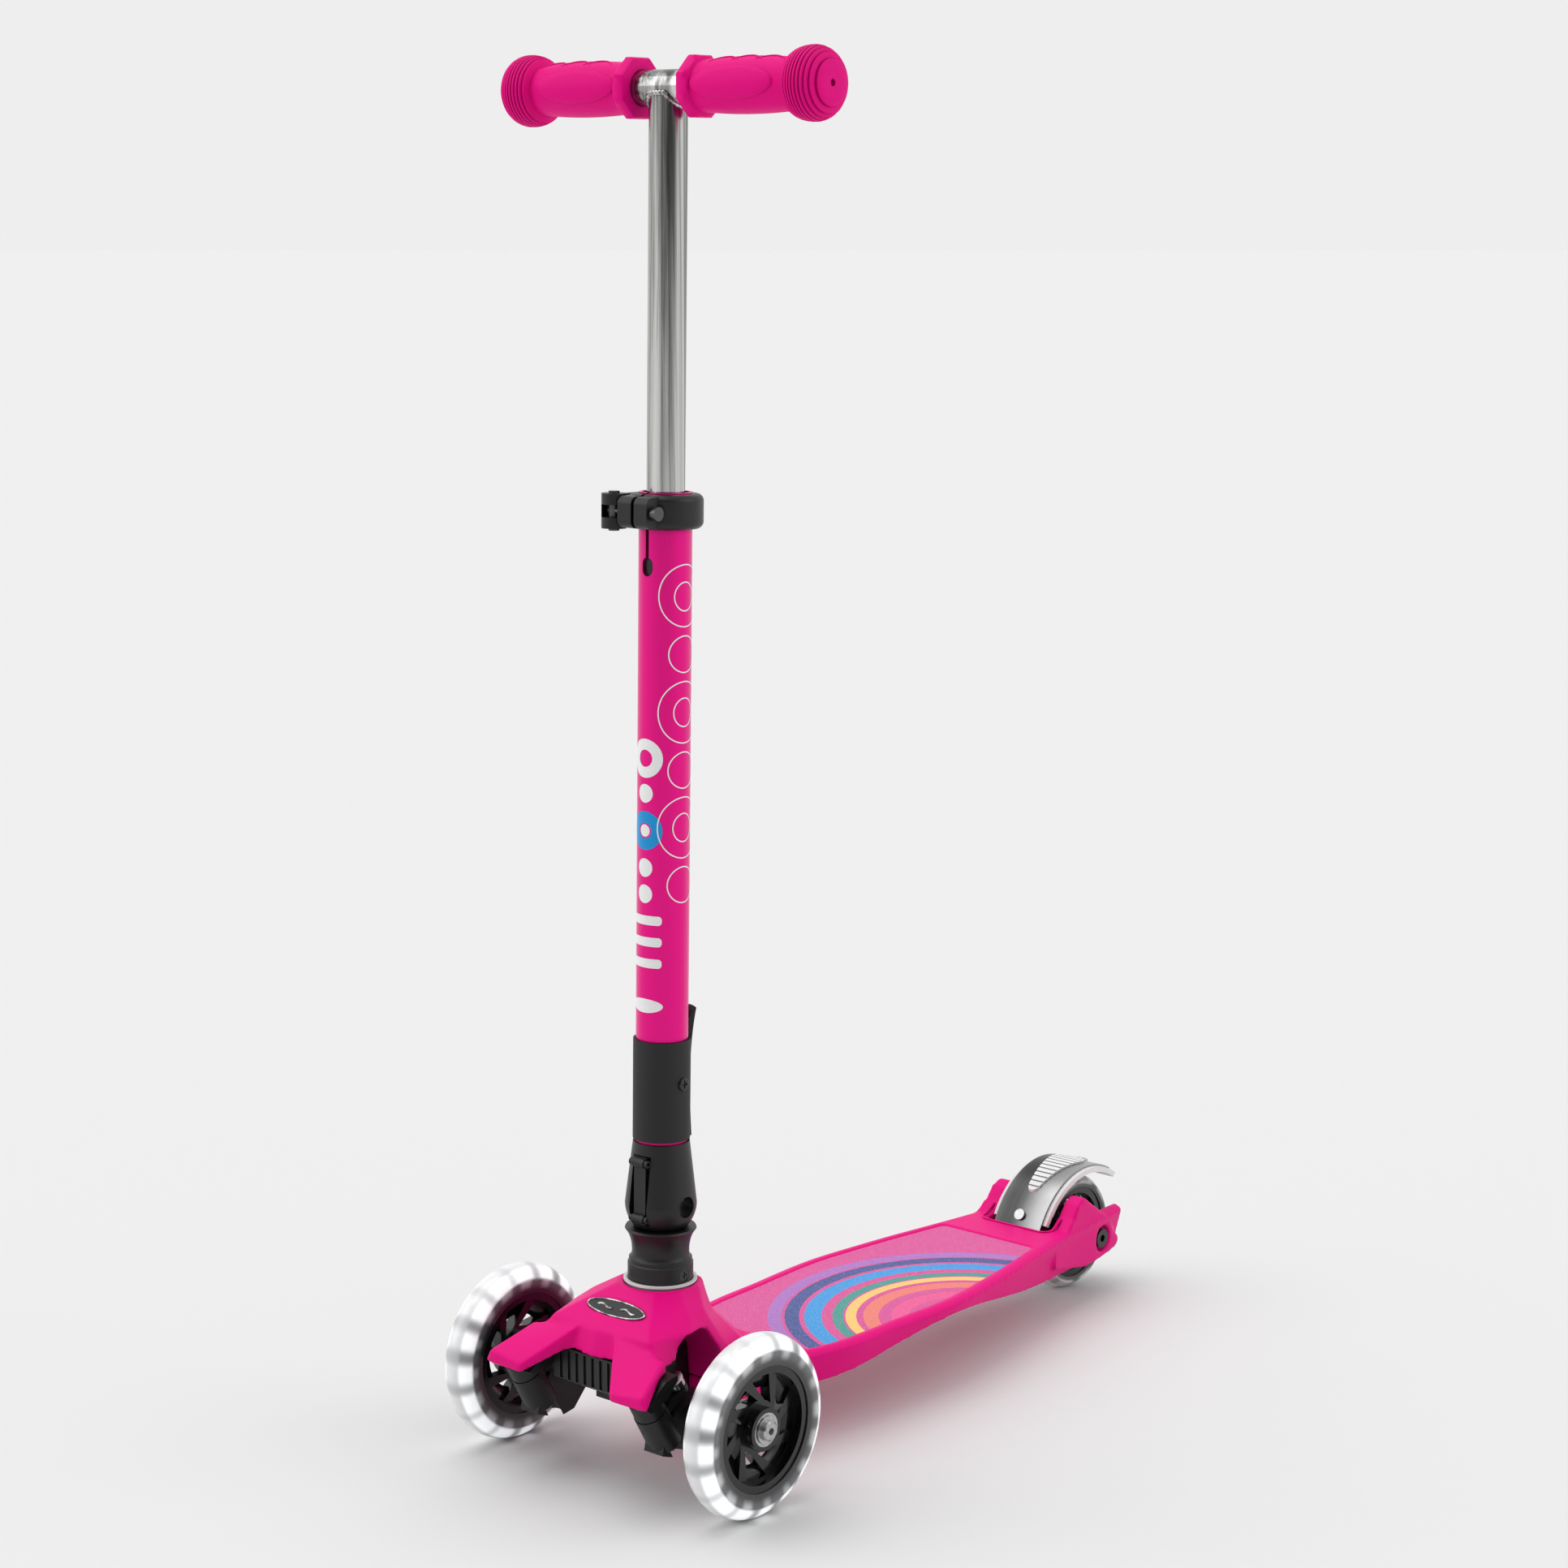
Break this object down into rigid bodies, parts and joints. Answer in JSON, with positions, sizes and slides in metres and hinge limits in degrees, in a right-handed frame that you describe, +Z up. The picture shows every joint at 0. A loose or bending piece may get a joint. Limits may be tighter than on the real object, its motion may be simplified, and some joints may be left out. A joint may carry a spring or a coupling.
{
  "type": "three-wheel kick scooter",
  "caption": "Child's lean-steer kick scooter with two light-up front wheels, one rear wheel, a foot brake, a folding stem and a height-adjustable T-bar",
  "frame": {"origin": "centre of the bounding box in plan, on the ground under the wheels", "axes": "+X to one side across the front wheels, +Y from the front wheels to the rear wheel, +Z up"},
  "size_m": [0.262, 0.5938, 0.9115],
  "materials": {
    "pink_moulding": "satin",
    "grip_mat": "matte",
    "white_trim": "satin",
    "badge": "satin",
    "steel": "brushed",
    "black_plastic": "matte",
    "pink_tube": "satin",
    "polished_tube": "polished",
    "grip": "matte",
    "clear_tyre": "satin",
    "light_core": "polished",
    "brake_steel": "brushed",
    "white_lining": "matte"
  },
  "bodies": {
    "chassis": {"deck_board": "pink_moulding", "deck_mat": "grip_mat", "deck_screws": "steel", "front_hood": "pink_moulding", "hood_trim": "white_trim", "hood_badge": "badge", "front_carrier": "black_plastic", "spring_housing": "black_plastic", "kingpin_bolts": "steel", "stem_socket": "steel", "socket_band": "black_plastic", "band_screw": "steel", "hinge_collar": "black_plastic", "hinge_tongue": "steel", "rear_axle": "steel", "brake_pin": "steel", "brake_spring": "steel"},
    "stem": {"lower_tube": "pink_tube", "tube_bushing": "black_plastic", "hinge_knuckle": "black_plastic", "fold_pin": "steel", "latch_strap": "black_plastic", "latch_pins": "steel", "clamp_collar": "black_plastic", "clamp_bolt": "steel", "lever_pin": "steel"},
    "clamp_lever": {"clamp_lever": "black_plastic"},
    "lock_sleeve": {"lock_sleeve": "black_plastic", "sleeve_screw": "steel", "lock_plunger": "black_plastic", "lock_spring": "steel"},
    "t_bar": {"upper_tube": "polished_tube", "crossbar": "polished_tube", "bar_weld": "polished_tube", "tube_plug": "black_plastic", "grip_right": "grip", "grip_left": "grip"},
    "knuckle_right": {"steering_knuckle_right": "black_plastic", "wheel_bolt_right": "steel"},
    "knuckle_left": {"steering_knuckle_left": "black_plastic", "wheel_bolt_left": "steel"},
    "wheel_right": {"front_hub_right": "black_plastic", "front_tyre_right": "clear_tyre", "light_core_right": "light_core", "front_bearings_right": "steel"},
    "wheel_left": {"front_hub_left": "black_plastic", "front_tyre_left": "clear_tyre", "light_core_left": "light_core", "front_bearings_left": "steel"},
    "tie_rod": {"tie_rod": "steel", "steering_springs": "steel"},
    "rear_wheel": {"rear_hub": "black_plastic", "rear_tyre": "clear_tyre", "rear_bearings": "steel"},
    "brake": {"brake_plate": "brake_steel", "brake_lining": "white_lining", "brake_pad": "white_lining", "brake_rivets": "steel", "brake_block": "black_plastic"}
  },
  "joints": [
    {"name": "steer_right", "type": "hinge", "parent": "chassis", "child": "knuckle_right", "pos_m": [0.055, -0.2721, 0.062], "axis": [0, -0.5, 0.866], "range_deg": [-12, 12], "stiffness_Nm_per_rad": 8},
    {"name": "steer_left", "type": "hinge", "parent": "chassis", "child": "knuckle_left", "pos_m": [-0.055, -0.2721, 0.062], "axis": [0, -0.5, 0.866], "range_deg": [-12, 12]},
    {"name": "tie_rod_slide", "type": "slide", "parent": "chassis", "child": "tie_rod", "axis": [1, 0, 0], "range_m": [-0.0055, 0.0055]},
    {"name": "wheel_right_spin", "type": "hinge", "parent": "knuckle_right", "child": "wheel_right", "pos_m": [0.1056, -0.2351, 0.06], "axis": [1, 0, 0], "continuous": true},
    {"name": "wheel_left_spin", "type": "hinge", "parent": "knuckle_left", "child": "wheel_left", "pos_m": [-0.1056, -0.2351, 0.06], "axis": [1, 0, 0], "continuous": true},
    {"name": "rear_wheel_spin", "type": "hinge", "parent": "chassis", "child": "rear_wheel", "pos_m": [0, 0.2524, 0.0445], "axis": [1, 0, 0], "continuous": true},
    {"name": "fold", "type": "hinge", "parent": "chassis", "child": "stem", "pos_m": [0, -0.20422, 0.17846], "axis": [-1, 0, 0], "range_deg": [0, 90]},
    {"name": "bar_height", "type": "slide", "parent": "stem", "child": "t_bar", "axis": [0, 0.0201, 0.9998], "range_m": [-0.228, 0]},
    {"name": "clamp_lever_swing", "type": "hinge", "parent": "stem", "child": "clamp_lever", "pos_m": [-0.021, -0.22018, 0.62887], "axis": [0, 0.0201, 0.9998], "range_deg": [0, 110]},
    {"name": "sleeve_lift", "type": "slide", "parent": "stem", "child": "lock_sleeve", "axis": [0, 0.0201, 0.9998], "range_m": [0, 0.01], "stiffness_N_per_m": 500, "springref_m": -0.01, "deforming": ["lock_spring"]},
    {"name": "brake_press", "type": "hinge", "parent": "chassis", "child": "brake", "pos_m": [0, 0.1959, 0.052], "axis": [-1, 0, 0], "range_deg": [0, 3.8], "stiffness_Nm_per_rad": 5, "springref_deg": -3.44}
  ],
  "couplings": [
    {"joint": "steer_left", "follows": "steer_right", "ratio": 1},
    {"joint": "tie_rod_slide", "follows": "steer_right", "m_per_rad": -0.026}
  ]
}
